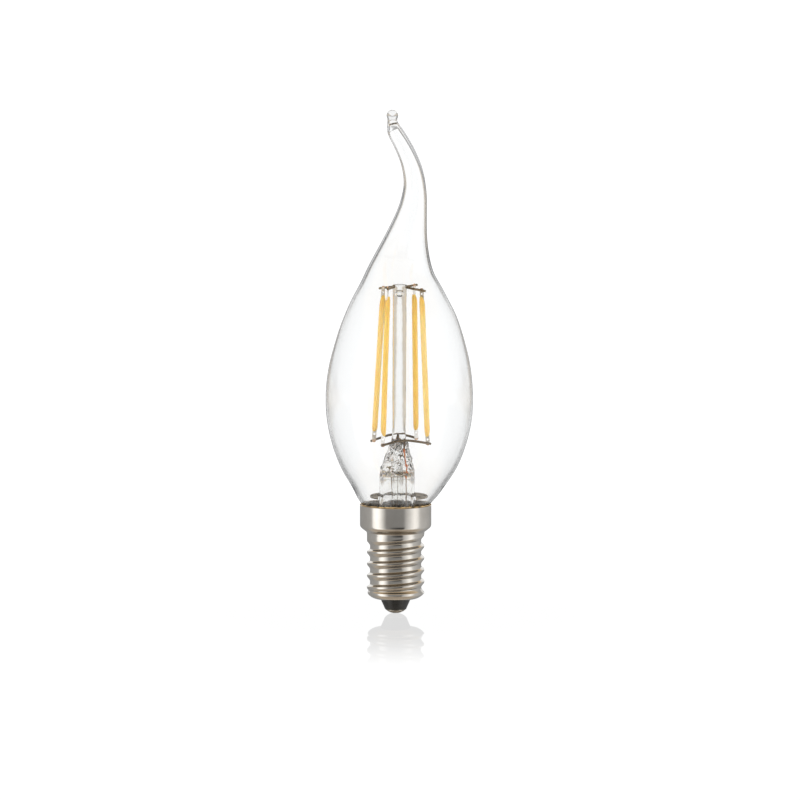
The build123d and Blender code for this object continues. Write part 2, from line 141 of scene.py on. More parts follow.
def sweep(path, radius, n=20, round_ends=True, wobble=0.0, seed=0.0):
    """A round wire along a path; radius is a number or one per point."""
    path = np.asarray(path, float)
    m = len(path)
    rad = np.full(m, radius) if np.isscalar(radius) else np.asarray(radius, float)
    tan = np.gradient(path, axis=0)
    tan /= np.linalg.norm(tan, axis=1)[:, None]
    up = np.array([0.0, 0.0, 1.0]) if abs(tan[0][2]) < 0.8 else np.array([1.0, 0.0, 0.0])
    x = np.cross(tan[0], up)
    f = np.arange(n) * TAU / n
    if wobble:
        path = path + np.array([[wave(q[0] * 0.9 + seed, q[1] * 0.9, q[2] * 0.9) * wobble, wave(q[0] * 0.9, q[1] * 0.9 + seed + 7.3, q[2] * 0.9) * wobble, wave(q[0] * 0.9, q[1] * 0.9, q[2] * 0.9 + seed + 3.1) * wobble] for q in path])
    loops = []
    frames = []
    for k in range(m):
        x = x - tan[k] * x.dot(tan[k])
        x /= np.linalg.norm(x)
        frames.append((x, np.cross(tan[k], x)))
    def loop(k, r, push=0.0):
        a, b = frames[k]
        return path[k] + tan[k] * push + r * (np.cos(f)[:, None] * a + np.sin(f)[:, None] * b)
    if round_ends:
        for s in (0.35, 0.75, 0.95):
            loops.append(loop(0, rad[0] * s, -rad[0] * 0.35 * math.sqrt(1 - s * s)))
    loops += [loop(k, rad[k]) for k in range(m)]
    if round_ends:
        for s in (0.95, 0.75, 0.35):
            loops.append(loop(m - 1, rad[-1] * s, rad[-1] * 0.35 * math.sqrt(1 - s * s)))
    return skin(loops, first=path[0] - tan[0] * (rad[0] * 0.35 if round_ends else 0), last=path[-1] + tan[-1] * (rad[-1] * 0.35 if round_ends else 0))


# ------------------------------------------------------------------ materials
def material(name):
    m = bpy.data.materials.new(name)
    m.use_nodes = True
    t = m.node_tree
    return m, t, t.nodes["Principled BSDF"]


def add(tree, kind, **sockets):
    n = tree.nodes.new(kind)
    for key, value in sockets.items():
        if key in n.inputs:
            n.inputs[key].default_value = value
        else:
            setattr(n, key, value)
    return n


def place(tree, scale):
    """Object coordinates times a scale, per axis."""
    co = add(tree, "ShaderNodeTexCoord")
    mp = add(tree, "ShaderNodeMapping")
    mp.inputs["Scale"].default_value = scale
    tree.links.new(co.outputs["Object"], mp.inputs["Vector"])
    return mp.outputs["Vector"]


def grain(tree, scale, size=1.0, detail=3.0, rough=0.55, distort=0.0):
    n = add(tree, "ShaderNodeTexNoise", Scale=size, Detail=detail, Roughness=rough, Distortion=distort)
    tree.links.new(place(tree, scale), n.inputs["Vector"])
    return n.outputs["Fac"]


def tones(tree, fac, stops):
    r = add(tree, "ShaderNodeValToRGB")
    e = r.color_ramp.elements
    while len(e) < len(stops):
        e.new(0.5)
    for el, (pos, col) in zip(e, stops):
        el.position = pos
        el.color = (*col, 1)
    tree.links.new(fac, r.inputs["Fac"])
    return r.outputs["Color"]


def spread(tree, fac, lo, hi):
    r = add(tree, "ShaderNodeMapRange")
    r.inputs["To Min"].default_value = lo
    r.inputs["To Max"].default_value = hi
    tree.links.new(fac, r.inputs["Value"])
    return r.outputs["Result"]


def relief(tree, shader, fac, strength, depth):
    b = add(tree, "ShaderNodeBump", Strength=strength, Distance=depth)
    tree.links.new(fac, b.inputs["Height"])
    tree.links.new(b.outputs["Normal"], shader.inputs["Normal"])


def glass(name, tint, wave_scale, depth, loss, edge):
    m, t, s = material(name)
    s.inputs["Roughness"].default_value = 0.0
    s.inputs["IOR"].default_value = 1.5
    s.inputs["Transmission Weight"].default_value = 1.0
    body = tones(t, grain(t, wave_scale, 1.0, 2.0), [(0.3, tint), (0.7, tuple(min(1.0, c + 0.008) for c in tint))])
    # painted edge shade: the base colour darkens where the surface turns from the view; the narrow tail and the bead
    # curve faster, so theirs starts sooner
    rim = add(t, "ShaderNodeLayerWeight", Blend=0.5)
    co = add(t, "ShaderNodeTexCoord")
    up = add(t, "ShaderNodeSeparateXYZ")
    t.links.new(co.outputs["Object"], up.inputs[0])
    sooner = add(t, "ShaderNodeMapRange")
    for key, val in (("From Min", 0.066), ("From Max", 0.116), ("To Min", 0.0), ("To Max", 0.26)):
        sooner.inputs[key].default_value = val
    t.links.new(up.outputs["Z"], sooner.inputs["Value"])
    total = add(t, "ShaderNodeMath", operation="ADD")
    t.links.new(rim.outputs["Facing"], total.inputs[0])
    t.links.new(sooner.outputs["Result"], total.inputs[1])

    def span(value, lo, hi, start, end):
        r = add(t, "ShaderNodeMapRange", interpolation_type="SMOOTHSTEP")
        for key, val in (("From Min", lo), ("From Max", hi), ("To Min", start), ("To Max", end)):
            r.inputs[key].default_value = val
        t.links.new(value, r.inputs["Value"])
        return r.outputs["Result"]

    def times(op, a, b, c=None):
        n = add(t, "ShaderNodeMath", operation=op)
        for sock, val in zip(n.inputs, (a, b, c)):
            if isinstance(val, (int, float)):
                sock.default_value = val
            elif val is not None:
                t.links.new(val, sock)
        return n.outputs[0]

    low = span(up.outputs["Z"], 0.030, 0.048, 1.0, 0.0)        # painted shade at the edges, wider towards the neck, where the glass is thicker
    # painted shade: a dark line along the edges of the leaning tail, 70 to 109 mm up
    sway = times("MULTIPLY", span(up.outputs["Z"], 0.070, 0.082, 0.0, 1.0), span(up.outputs["Z"], 0.100, 0.109, 1.0, 0.0))
    reach = times("MULTIPLY_ADD", low, 0.24 * (1 - edge[1]), total.outputs[0])
    # painted shade: white across the face of the glass, grey and then darker grey towards its edges
    shade = tones(t, reach, [(0.76, (1.0, 1.0, 1.0)), (0.84, (edge[0],) * 3), (0.94, (edge[1],) * 3)])
    # painted shade: a broad grey at the edges of the lower bulb
    haze_and_shade = times("MULTIPLY_ADD", times("MULTIPLY", low, span(rim.outputs["Facing"], 0.32, 0.85, 0.0, 1.0)), -0.30 * (1 - edge[1]), 1.0)
    line = times("MULTIPLY_ADD", times("MULTIPLY", sway, span(rim.outputs["Facing"], 0.66, 0.84, 0.0, 1.0)), -1.75 * (1 - edge[1]), 1.0)
    scaled = add(t, "ShaderNodeVectorMath", operation="SCALE")
    t.links.new(shade, scaled.inputs[0])
    t.links.new(times("MULTIPLY", haze_and_shade, line), scaled.inputs["Scale"])
    shade = scaled.outputs[0]
    both = add(t, "ShaderNodeMix", data_type="RGBA", blend_type="MULTIPLY")
    for sock in both.inputs:
        if sock.name == "Factor" and sock.type == "VALUE":
            sock.default_value = 1.0
        if sock.type == "RGBA":
            t.links.new(body if sock.name == "A" else shade, sock)
    t.links.new(next(o for o in both.outputs if o.type == "RGBA"), s.inputs["Base Color"])
    relief(t, s, grain(t, wave_scale, 1.0, 1.0), 0.25, depth)
    dim = add(t, "ShaderNodeVolumeAbsorption", Color=(0.0, 0.0, 0.0, 1.0), Density=loss)
    t.links.new(dim.outputs[0], t.nodes["Material Output"].inputs["Volume"])
    return m


def metal(name, dark, pale, scale, rough, strength=0.12, depth=0.00001, size=1.0, metallic=1.0, detail=4.0):
    m, t, s = material(name)
    g = grain(t, scale, size, detail)
    s.inputs["Metallic"].default_value = metallic
    t.links.new(tones(t, g, [(0.3, dark), (0.7, pale)]), s.inputs["Base Color"])
    t.links.new(spread(t, g, rough[0], rough[1]), s.inputs["Roughness"])
    relief(t, s, g, strength, depth)
    return m


def dull(name, dark, pale, scale, rough, strength=0.3, depth=0.00002, size=1.0, detail=5.0, coat=0.0):
    m, t, s = material(name)
    g = grain(t, scale, size, detail)
    t.links.new(tones(t, g, [(0.3, dark), (0.7, pale)]), s.inputs["Base Color"])
    t.links.new(spread(t, g, rough[0], rough[1]), s.inputs["Roughness"])
    s.inputs["Coat Weight"].default_value = coat
    s.inputs["Coat Roughness"].default_value = 0.12
    relief(t, s, g, strength, depth)
    return m


# the last pair gives the grey levels of the painted edge shade; the pressed stem glass has none
ENVELOPE_GLASS = glass("clear_glass_blown", (0.983, 0.988, 0.990), (60, 60, 28), 0.00004, 55.0, (0.62, 0.34))
STEM_GLASS = glass("clear_glass_pressed", (0.975, 0.975, 0.966), (160, 160, 60), 0.00005, 12.0, (1.0, 1.0))

# nickel plate: turned marks run round the cap, with a little handling haze
NICKEL, t, s = material("nickel_plate")
s.inputs["Metallic"].default_value = 1.0
haze_and_shade = grain(t, (260, 260, 300), 1.0, 4.0)
turn = grain(t, (90, 90, 9000), 1.0, 3.0)
t.links.new(tones(t, haze_and_shade, [(0.25, (0.60, 0.565, 0.515)), (0.75, (0.70, 0.67, 0.62))]), s.inputs["Base Color"])
t.links.new(spread(t, haze_and_shade, 0.07, 0.17), s.inputs["Roughness"])
relief(t, s, turn, 0.10, 0.000006)

WIRE = metal("support_wire", (0.095, 0.068, 0.040), (0.36, 0.27, 0.165), (900, 900, 900), (0.28, 0.45), 0.25, 0.00001)
COPPER = metal("copper_clad", (0.80, 0.15, 0.012), (0.98, 0.29, 0.035), (1200, 1200, 500), (0.4, 0.6), 0.2, 0.00001, metallic=0.0)
# painted shade: the same copper-clad wire, coloured dark brown for the rear seal wire
COPPER_PAINTED_SHADE = metal("copper_clad_dark", (0.10, 0.070, 0.038), (0.26, 0.19, 0.115), (1200, 1200, 500), (0.3, 0.5), 0.2, 0.00001, metallic=0.4)
LEAD = metal("lead_wire", (0.40, 0.29, 0.20), (0.62, 0.50, 0.40), (1500, 1500, 400), (0.3, 0.45))


def tab(name, dark, pale, weld, metallic):
    """Stamped tab: plain in its length, tinged with copper near the welds at both ends of the filaments."""
    m, t, s = material(name)
    g = grain(t, (1400, 1400, 900), 1.0, 4.0)
    s.inputs["Metallic"].default_value = metallic
    co = add(t, "ShaderNodeTexCoord")
    at = add(t, "ShaderNodeSeparateXYZ")
    t.links.new(co.outputs["Object"], at.inputs[0])
    far = add(t, "ShaderNodeMath", operation="SUBTRACT")
    far.inputs[1].default_value = 0.0594
    t.links.new(at.outputs["Z"], far.inputs[0])
    gap = add(t, "ShaderNodeMath", operation="ABSOLUTE")
    t.links.new(far.outputs[0], gap.inputs[0])
    edge = add(t, "ShaderNodeMapRange", interpolation_type="SMOOTHSTEP")
    for key, val in (("From Min", 0.0179), ("From Max", 0.0186), ("To Min", 0.0), ("To Max", weld)):
        edge.inputs[key].default_value = val
    t.links.new(gap.outputs[0], edge.inputs["Value"])
    mix = add(t, "ShaderNodeMix", data_type="RGBA")
    plain = tones(t, g, [(0.3, dark), (0.7, pale)])
    tinged = tones(t, g, [(0.3, (0.30, 0.13, 0.04)), (0.7, (0.85, 0.42, 0.13))])
    for sock in mix.inputs:
        if sock.name == "Factor" and sock.type == "VALUE":
            t.links.new(edge.outputs["Result"], sock)
        if sock.type == "RGBA" and sock.name in "AB":
            t.links.new(plain if sock.name == "A" else tinged, sock)
    t.links.new(next(o for o in mix.outputs if o.type == "RGBA"), s.inputs["Base Color"])
    t.links.new(spread(t, g, 0.25, 0.45), s.inputs["Roughness"])
    relief(t, s, g, 0.25, 0.00001)
    return m


TAB = tab("tab_metal", (0.36, 0.30, 0.22), (0.80, 0.75, 0.66), 0.75, 0.6)
# painted highlight: the same tab metal, coloured near white and barely metallic, for the tabs of filaments 2 and 3
TAB_PAINTED_LIT = tab("tab_metal_pale", (0.84, 0.82, 0.78), (1.0, 0.99, 0.97), 0.9, 0.1)
BRASS = metal("contact_brass", (0.30, 0.27, 0.22), (0.55, 0.52, 0.46), (1800, 1800, 1800), (0.25, 0.4))
SOLDER = metal("solder", (0.17, 0.155, 0.13), (0.52, 0.50, 0.45), (1500, 1500, 1800), (0.28, 0.5), 0.5, 0.00004, detail=5.0)
CAN = metal("capacitor_can", (0.05, 0.06, 0.09), (0.09, 0.10, 0.14), (700, 700, 2500), (0.3, 0.45), metallic=0.2)
BLACK_GLASS = dull("black_glass", (0.006, 0.006, 0.0055), (0.013, 0.013, 0.012), (900, 900, 900), (0.24, 0.42), 0.35, 0.00003)
CEMENT, t, s = material("cement")
crumb = grain(t, (850, 850, 1500), 1.0, 5.0)
co = add(t, "ShaderNodeTexCoord")
at = add(t, "ShaderNodeSeparateXYZ")
t.links.new(co.outputs["Object"], at.inputs[0])
out = add(t, "ShaderNodeVectorMath", operation="LENGTH")
flatten = add(t, "ShaderNodeVectorMath", operation="MULTIPLY")
flatten.inputs[1].default_value = (1, 1, 0)
t.links.new(co.outputs["Object"], flatten.inputs[0])
t.links.new(flatten.outputs[0], out.inputs[0])


def eased(value, lo, hi):
    r = add(t, "ShaderNodeMapRange", interpolation_type="SMOOTHSTEP")
    r.inputs["From Min"].default_value, r.inputs["From Max"].default_value = lo, hi
    t.links.new(value, r.inputs["Value"])
    return r.outputs["Result"]


def over(fac, low, high):
    n = add(t, "ShaderNodeMix", data_type="RGBA")
    for sock in n.inputs:
        if sock.name == "Factor" and sock.type == "VALUE":
            t.links.new(fac, sock)
        if sock.type == "RGBA" and sock.name in "AB":
            t.links.new(low if sock.name == "A" else high, sock)
    return next(o for o in n.outputs if o.type == "RGBA")


golden = tones(t, crumb, [(0.34, (0.030, 0.019, 0.009)), (0.62, (0.50, 0.33, 0.14))])
inside = over(eased(at.outputs["Z"], 0.0248, 0.0257), tones(t, crumb, [(0.3, (0.045, 0.032, 0.018)), (0.7, (0.20, 0.14, 0.075))]), tones(t, crumb, [(0.36, (0.34, 0.31, 0.27)), (0.60, (0.95, 0.94, 0.92))]))
t.links.new(over(eased(out.outputs["Value"], 0.00812, 0.00830), inside, golden), s.inputs["Base Color"])
t.links.new(spread(t, crumb, 0.5, 0.8), s.inputs["Roughness"])
relief(t, s, crumb, 0.6, 0.00006)
# painted reflection: a dark disc in the neck, coloured dark brown to stand for the cap seen refracted through the glass
DISC = dull("disc_mica", (0.022, 0.017, 0.011), (0.50, 0.425, 0.33), (620, 950, 2200), (0.5, 0.7), 0.3, 0.00003)
BOARD = dull("board", (0.030, 0.105, 0.045), (0.045, 0.145, 0.065), (1500, 1500, 1500), (0.4, 0.55), coat=0.3)
PACKAGE = dull("black_package", (0.016, 0.016, 0.017), (0.030, 0.030, 0.031), (2500, 2500, 2500), (0.5, 0.7))
RESISTOR = dull("resistor_body", (0.33, 0.20, 0.10), (0.42, 0.28, 0.16), (1500, 1500, 1500), (0.4, 0.6), coat=0.3)
CHIP = dull("chip_resistor", (0.020, 0.020, 0.022), (0.60, 0.60, 0.58), (900, 400, 400), (0.4, 0.6))
SLEEVE = dull("sleeve", (0.62, 0.61, 0.57), (0.72, 0.71, 0.67), (600, 600, 2500), (0.45, 0.6))
STRIP = dull("carrier_strip", (0.62, 0.58, 0.48), (0.74, 0.70, 0.60), (1200, 1200, 500), (0.35, 0.5))

# silicone with phosphor: streaks along the strip, grain of the powder, a wet gloss
def coating(name, deep, pale):
    m, t, s = material(name)
    streak = grain(t, (900, 900, 60), 1.0, 3.0)
    powder = grain(t, (4200, 4200, 4200), 1.0, 4.0)
    mix = add(t, "ShaderNodeMath", operation="MULTIPLY_ADD")
    t.links.new(streak, mix.inputs[0])
    mix.inputs[1].default_value = 0.7
    t.links.new(spread(t, powder, 0.0, 0.3), mix.inputs[2])
    co = add(t, "ShaderNodeTexCoord")
    at = add(t, "ShaderNodeSeparateXYZ")
    t.links.new(co.outputs["Object"], at.inputs[0])
    far = add(t, "ShaderNodeMath", operation="SUBTRACT")
    far.inputs[1].default_value = 0.0588
    t.links.new(at.outputs["Z"], far.inputs[0])
    gap = add(t, "ShaderNodeMath", operation="ABSOLUTE")
    t.links.new(far.outputs[0], gap.inputs[0])
    edge = add(t, "ShaderNodeMapRange", interpolation_type="SMOOTHSTEP")
    edge.inputs["From Min"].default_value, edge.inputs["From Max"].default_value = 0.0105, 0.0168
    t.links.new(gap.outputs[0], edge.inputs["Value"])
    n = add(t, "ShaderNodeMix", data_type="RGBA")
    plain = tones(t, mix.outputs[0], [(0.28, deep), (0.72, pale)])
    ochre = tones(t, mix.outputs[0], [(0.28, (0.86, 0.50, 0.05)), (0.72, (0.96, 0.63, 0.15))])
    for sock in n.inputs:
        if sock.name == "Factor" and sock.type == "VALUE":
            t.links.new(edge.outputs["Result"], sock)
        if sock.type == "RGBA" and sock.name in "AB":
            t.links.new(plain if sock.name == "A" else ochre, sock)
    t.links.new(next(o for o in n.outputs if o.type == "RGBA"), s.inputs["Base Color"])
    t.links.new(spread(t, powder, 0.26, 0.40), s.inputs["Roughness"])
    s.inputs["Subsurface Weight"].default_value = 0.35
    s.inputs["Subsurface Radius"].default_value = (1.0, 0.62, 0.18)
    s.inputs["Subsurface Scale"].default_value = 0.0006
    s.inputs["Coat Weight"].default_value = 0.35
    s.inputs["Coat Roughness"].default_value = 0.18
    relief(t, s, powder, 0.18, 0.00002)
    return m


# painted light: lit and shaded copies of one coating, paler on filaments 1 and 4, deeper on filaments 2 and 3
PHOSPHOR = coating("phosphor", (1.0, 0.63, 0.12), (1.0, 0.77, 0.33))
PHOSPHOR_DEEP = coating("phosphor_deep", (1.0, 0.57, 0.055), (1.0, 0.70, 0.19))

FINISH = {
    "clear_glass": STEM_GLASS, "support_wire": WIRE, "copper_clad": COPPER, "lead_wire": LEAD, "phosphor": PHOSPHOR,
    "carrier_strip": STRIP, "tab_metal": TAB, "nickel_plate": NICKEL, "black_glass": BLACK_GLASS, "contact_brass": BRASS,
    "solder": SOLDER, "cement": CEMENT, "board": BOARD, "black_package": PACKAGE, "capacitor_can": CAN,
    "resistor_body": RESISTOR, "chip_resistor": CHIP, "sleeve": SLEEVE, "disc_mica": DISC,
}
NODE_FINISH = {
    "driver_board": BOARD, "rectifier": PACKAGE, "driver_chip": PACKAGE, "smoothing_capacitor": CAN,
    "fusible_resistor": RESISTOR, "sense_resistor_1": CHIP, "sense_resistor_2": CHIP, "side_contact_wire": LEAD,
    "insulating_sleeve": SLEEVE, "neck_disc": DISC, "centre_contact": BRASS, "front_outer_lead": LEAD, "rear_outer_lead": LEAD,
    # the rear seal wire takes the copper painted dark as shade
    "front_seal_wire": COPPER, "rear_seal_wire": COPPER_PAINTED_SHADE, "front_inner_lead": WIRE, "rear_inner_lead": WIRE,
}
for k in range(1, 5):
    NODE_FINISH[f"filament_{k}_strip"] = STRIP
    # filaments 2 and 3 take the tab metal with its painted highlight
    NODE_FINISH[f"filament_{k}_upper_tab"] = NODE_FINISH[f"filament_{k}_lower_tab"] = TAB_PAINTED_LIT if k in (2, 3) else TAB
for name, finish in NODE_FINISH.items():
    me = nodes[name].data
    me.materials.clear()
    me.materials.append(finish)

# ------------------------------------------------------------------ blown envelope
# x of the centre, z, outer radius, lean of the section in degrees
ENVELOPE = [
    (0.00, 21.00, 7.40, 0), (0.00, 22.60, 7.42, 0), (0.01, 24.20, 7.54, 0),
    (0.05, 25.60, 7.86, 0), (0.18, 27.10, 8.90, 0), (0.48, 29.10, 10.25, 0),
    (0.64, 31.00, 11.42, 0), (0.72, 33.00, 12.73, 0), (0.79, 35.40, 14.03, 0),
    (0.83, 38.60, 15.33, 0), (0.86, 42.50, 16.50, 0), (0.88, 46.30, 17.22, 0),
    (0.89, 51.00, 17.512, 0), (0.91, 55.80, 17.26, 0), (0.98, 60.00, 16.62, 0),
    (1.05, 64.00, 15.62, 0), (1.09, 68.00, 14.42, 0), (1.11, 72.00, 12.88, 0),
    (1.12, 75.40, 11.24, 1), (1.19, 78.80, 9.44, 2), (1.33, 82.00, 7.86, 6),
    (1.79, 85.30, 6.50, 9), (2.36, 88.30, 5.46, 11), (2.96, 91.20, 4.60, 12),
    (3.58, 94.05, 3.90, 11.5), (4.12, 96.90, 3.34, 9), (4.47, 99.75, 2.93, 4),
    (4.49, 102.65, 2.58, -4), (4.06, 105.50, 2.39, -13), (3.20, 108.35, 2.21, -21),
    (1.94, 111.20, 2.07, -27), (0.64, 113.60, 1.95, -29), (-0.27, 115.25, 1.77, -26),
    (-0.62, 116.45, 1.44, -14), (-0.76, 117.45, 1.16, -4),
]
BEAD_X, BEAD_Z, BEAD_R = -0.76, 118.73, 1.37
SEG = 128


def leaning(x, z, r, lean, n=SEG):
    f = np.arange(n) * TAU / n
    a = math.radians(lean)
    return np.stack([x + r * np.cos(f) * math.cos(a), r * np.sin(f), z - r * np.cos(f) * math.sin(a)], -1)


def wall(z):
    return float(np.interp(z, [21.0, 25.0, 31.0, 82.0, 96.0, 118.0], [0.60, 0.60, 0.42, 0.40, 0.32, 0.32]))


outer_rows = spline(ENVELOPE, 300)
outer = [leaning(*row) for row in outer_rows]
for a in np.linspace(math.radians(122), math.radians(6), 18):
    outer.append(leaning(BEAD_X, BEAD_Z + BEAD_R * math.cos(a), BEAD_R * math.sin(a), 0))
inner_rows = [(x, z, r - wall(z), lean) for x, z, r, lean in outer_rows if z < 115.6]
inner_rows += [(-0.42, 115.9, 1.20, -22), (-0.53, 116.35, 1.05, -17), (-0.60, 116.75, 0.84, -12), (-0.62, 116.88, 0.55, -12), (-0.63, 116.93, 0.25, -12)]
inner = [leaning(*row) for row in inner_rows]
v_out, f_out = skin(np.array(outer), last=(BEAD_X, 0, BEAD_Z + BEAD_R))
# the outer skin and the inner skin meet in a rounded lip at the neck's open end
loops = np.array([inner[0] * 0.5 + outer[0] * 0.5 - np.array([0, 0, 0.25])] + outer)
v_in = np.array(inner)
n_out = len(loops)


def shell(outer_loops, top, inner_loops, bottom):
    """One closed skin: the outer loops up to a pole, and the inner loops up to their own pole, joined below."""
    stack = np.concatenate([np.asarray(inner_loops)[::-1], np.asarray(outer_loops)])
    return skin(stack, first=bottom, last=top)


envelope = piece("envelope_blown", [shell(loops, (BEAD_X, 0, BEAD_Z + BEAD_R), v_in, (-0.635, 0, 116.94))], ENVELOPE_GLASS, ["glass_envelope"], 60)

# ------------------------------------------------------------------ stem, press, column and exhaust tube: glass melted into one
STEM = [  # x of the centre, z, half width across, half width to the viewer
    (0.00, 21.40, 6.55, 6.56), (0.03, 22.20, 6.30, 6.31), (0.12, 23.20, 5.62, 5.63), (0.22, 24.40, 4.98, 4.99), (0.30, 25.80, 4.50, 4.51),
    (0.34, 27.60, 4.22, 4.23), (0.34, 30.20, 4.20, 4.21), (0.34, 32.40, 4.20, 4.21),
    (0.36, 34.00, 4.08, 4.18), (0.44, 35.60, 3.62, 3.90), (0.58, 37.40, 3.00, 3.50), (0.72, 39.20, 2.50, 3.00),
    (0.77, 40.30, 2.20, 2.55), (0.78, 41.20, 1.86, 2.02), (0.79, 42.20, 1.69, 1.72), (0.80, 43.50, 1.63, 1.63),
    (0.82, 50.00, 1.63, 1.63), (0.88, 60.00, 1.63, 1.63), (0.93, 70.00, 1.63, 1.63), (0.96, 75.60, 1.63, 1.63),
    (0.97, 77.20, 1.67, 1.67), (0.97, 78.10, 1.70, 1.68),
]
WELL = [
    (0.01, 21.40, 5.62, 5.63), (0.06, 22.40, 5.02, 5.03), (0.16, 23.60, 4.34, 4.35), (0.26, 25.00, 3.82, 3.83), (0.34, 27.20, 3.42, 3.43),
    (0.34, 29.80, 3.35, 3.36), (0.34, 32.00, 3.35, 3.36), (0.35, 33.10, 3.12, 3.13), (0.36, 33.75, 2.60, 2.61),
]
SN = 112


def oval(x, z, rx, ry, lump=0.0, n=SN):
    f = np.arange(n) * TAU / n
    c, s = np.cos(f), np.sin(f)
    out = np.stack([x + rx * c, ry * s, np.full(n, z)], -1)
    if lump > 0:
        for k in range(n):
            d = wave(c[k] * 1.9 + 4.0, s[k] * 1.9, z * 0.30) * 0.70 + wave(c[k] * 4.2, s[k] * 4.2 + 9.0, z * 0.85) * 0.50 + wave(c[k] * 3.4 + 2.0, s[k] * 3.4, z * 1.7) * 0.26
            for mid, width, deep, left, right in ((36.75 + 0.10 * out[k, 0], 0.30, 0.80, -3.2, 0.6), (39.0 - 1.18 * (out[k, 0] + 0.86), 0.26, 0.62, -1.1, 2.1)):
                if s[k] < 0:
                    d -= deep * math.exp(-((z - mid) / width) ** 2) * float(ease(0.0, 0.35, -s[k]) * ease(left, left + 0.5, out[k, 0]) * (1 - ease(right - 0.5, right, out[k, 0])))
            out[k, 0] += c[k] * d * lump
            out[k, 1] += s[k] * d * lump
    return out


stem_rows = spline(STEM, 340)
skin_out = []
for x, z, rx, ry in stem_rows:
    lump = 0.50 * float(ease(32.9, 34.7, z) * (1 - ease(40.2, 41.8, z))) + 0.05 * float(ease(24, 28, z) * (1 - ease(33, 35, z))) + 0.02 * float(ease(41.5, 43.0, z))
    skin_out.append(oval(x, z, rx, ry, lump))
for r, z in ((1.70, 78.25), (1.64, 78.37), (1.50, 78.45), (1.20, 78.49), (0.7, 78.5), (0.3, 78.5)):
    skin_out.append(oval(0.97, z, r, r * 0.985))
skin_in = [oval(*row) for row in spline(WELL, 90)]
for r, z in ((2.10, 33.98), (1.78, 33.90), (1.60, 33.70), (1.52, 33.40), (1.50, 33.0), (1.50, 30.0), (1.50, 27.0), (1.50, 24.0), (1.50, 21.0), (1.46, 20.0), (1.34, 19.2), (1.10, 18.65), (0.75, 18.32), (0.35, 18.21)):
    skin_in.append(oval(0.37, z, r, r))
foot_lip = 0.5 * (skin_in[0] + skin_out[0]) - np.array([0, 0, 0.18])
stem_skin = shell([foot_lip] + skin_out, (0.97, 0, 78.5), skin_in, (0.37, 0, 18.20))

# a hollow left in the column's melted head
cx = lambda z: 0.78 + (z - 41.2) / 37.3 * 0.19
bore_profile = [(0.12, 75.55), (0.30, 75.60), (0.48, 75.74), (0.60, 75.93), (0.68, 76.18), (0.72, 76.45), (0.71, 76.72), (0.64, 76.95), (0.50, 77.11), (0.30, 77.22), (0.10, 77.25)]
bore = skin([oval(cx(z), z, r, r, 0, 48) for r, z in bore_profile], first=(cx(75.5), 0, 75.54), last=(cx(77.3), 0, 77.255), hollow=True)

# bore of the exhaust tube, widening into the blown vent in the press
vent = [(0.37, 0.0, 19.4, 0.20), (0.37, 0.0, 19.7, 0.55), (0.37, 0.0, 20.3, 0.75)]
vent += [(0.37, 0.0, z, 0.75) for z in np.linspace(21, 33, 14)]
vent += [(0.36, 0.0, 33.8, 0.72), (0.30, -0.05, 34.6, 0.62), (0.10, -0.12, 35.4, 0.56), (-0.30, -0.30, 36.1, 0.60), (-0.72, -0.55, 36.8, 0.62), (-1.02, -0.75, 37.5, 0.48), (-1.12, -0.85, 38.1, 0.26), (-1.14, -0.88, 38.4, 0.08)]
bore2 = skin([oval(x, z, r, r, 0, 40) + np.array([0, y, 0]) for x, y, z, r in vent], first=(0.37, 0, 19.3), last=(-1.15, -0.89, 38.45), hollow=True)
stem = piece("stem_glass", [stem_skin, bore, bore2], STEM_GLASS, ["stem_flare", "support_column", "exhaust_tube"], 60)

# ------------------------------------------------------------------ support wires
WIRE_R = 0.28
ROUTES = {
    "lower_front_wire": ([(-3.35, -6.70, 40.80), (-2.10, -6.22, 41.10), (0.60, -5.40, 41.74), (2.60, -4.95, 41.88), (5.00, -4.55, 41.58), (8.34, -3.75, 40.92)], 1.2),
    "lower_rear_wire": ([(-5.95, 4.05, 40.72), (-4.20, 3.90, 41.34), (-1.40, 4.40, 42.22), (0.80, 5.00, 42.34), (2.80, 5.70, 41.88), (5.30, 6.75, 41.05)], 1.1),
    "upper_left_wire": ([(-3.87, 3.50, 77.24), (0.05, 0.25, 77.95), (-1.86, -5.55, 77.90)], 0.6),
    "upper_right_wire": ([(6.98, -3.30, 77.18), (1.95, 0.05, 77.86), (5.10, 6.10, 77.78)], 0.6),
}
for name, (route, corner) in ROUTES.items():
    path = bent(route, corner, 0.10)
    piece(name + "_drawn", [sweep(path, WIRE_R, 20, True, 0.03, len(name) * 1.7)], WIRE, [name])

# ------------------------------------------------------------------ filament strips
TOP = [(-2.64, 2.61, 77.66), (-1.40, -4.35, 77.95), (3.90, 4.35, 77.95), (5.96, -2.61, 77.50)]
FOOT = [(-5.13, 3.92, 41.02), (-2.87, -6.51, 40.93), (4.73, 6.51, 41.18), (7.70, -3.92, 41.05)]
TOP_RUN = [((-3.87, 3.50, 77.24), (0.05, 0.25, 77.95)), ((-1.86, -5.55, 77.90), (0.05, 0.25, 77.95)), ((5.10, 6.10, 77.78), (1.95, 0.05, 77.86)), ((6.98, -3.30, 77.18), (1.95, 0.05, 77.86))]
FOOT_RUN = [((-5.95, 4.05, 40.72), (-4.20, 3.90, 41.34)), ((-3.35, -6.70, 40.80), (-2.10, -6.22, 41.10)), ((5.30, 6.75, 41.05), (2.80, 5.70, 41.88)), ((8.34, -3.75, 40.92), (5.00, -4.55, 41.58))]
SIDE = [-1, 1, -1, 1]
START, STOP = [2.10, 2.10, 2.00, 1.55], [1.75, 1.95, 2.10, 1.55]


def unit(v):
    v = np.asarray(v, float)
    return v / np.linalg.norm(v)


def weld(point, axis, run, side):
    point, a, b = (np.array(q, float) for q in (point, *run))
    on = a + (b - a) * ((point - a).dot(b - a) / (b - a).dot(b - a))
    normal = unit(np.cross(b - a, axis))
    if normal[1] * side < 0:
        normal = -normal
    return on + normal * (WIRE_R + 0.104), normal


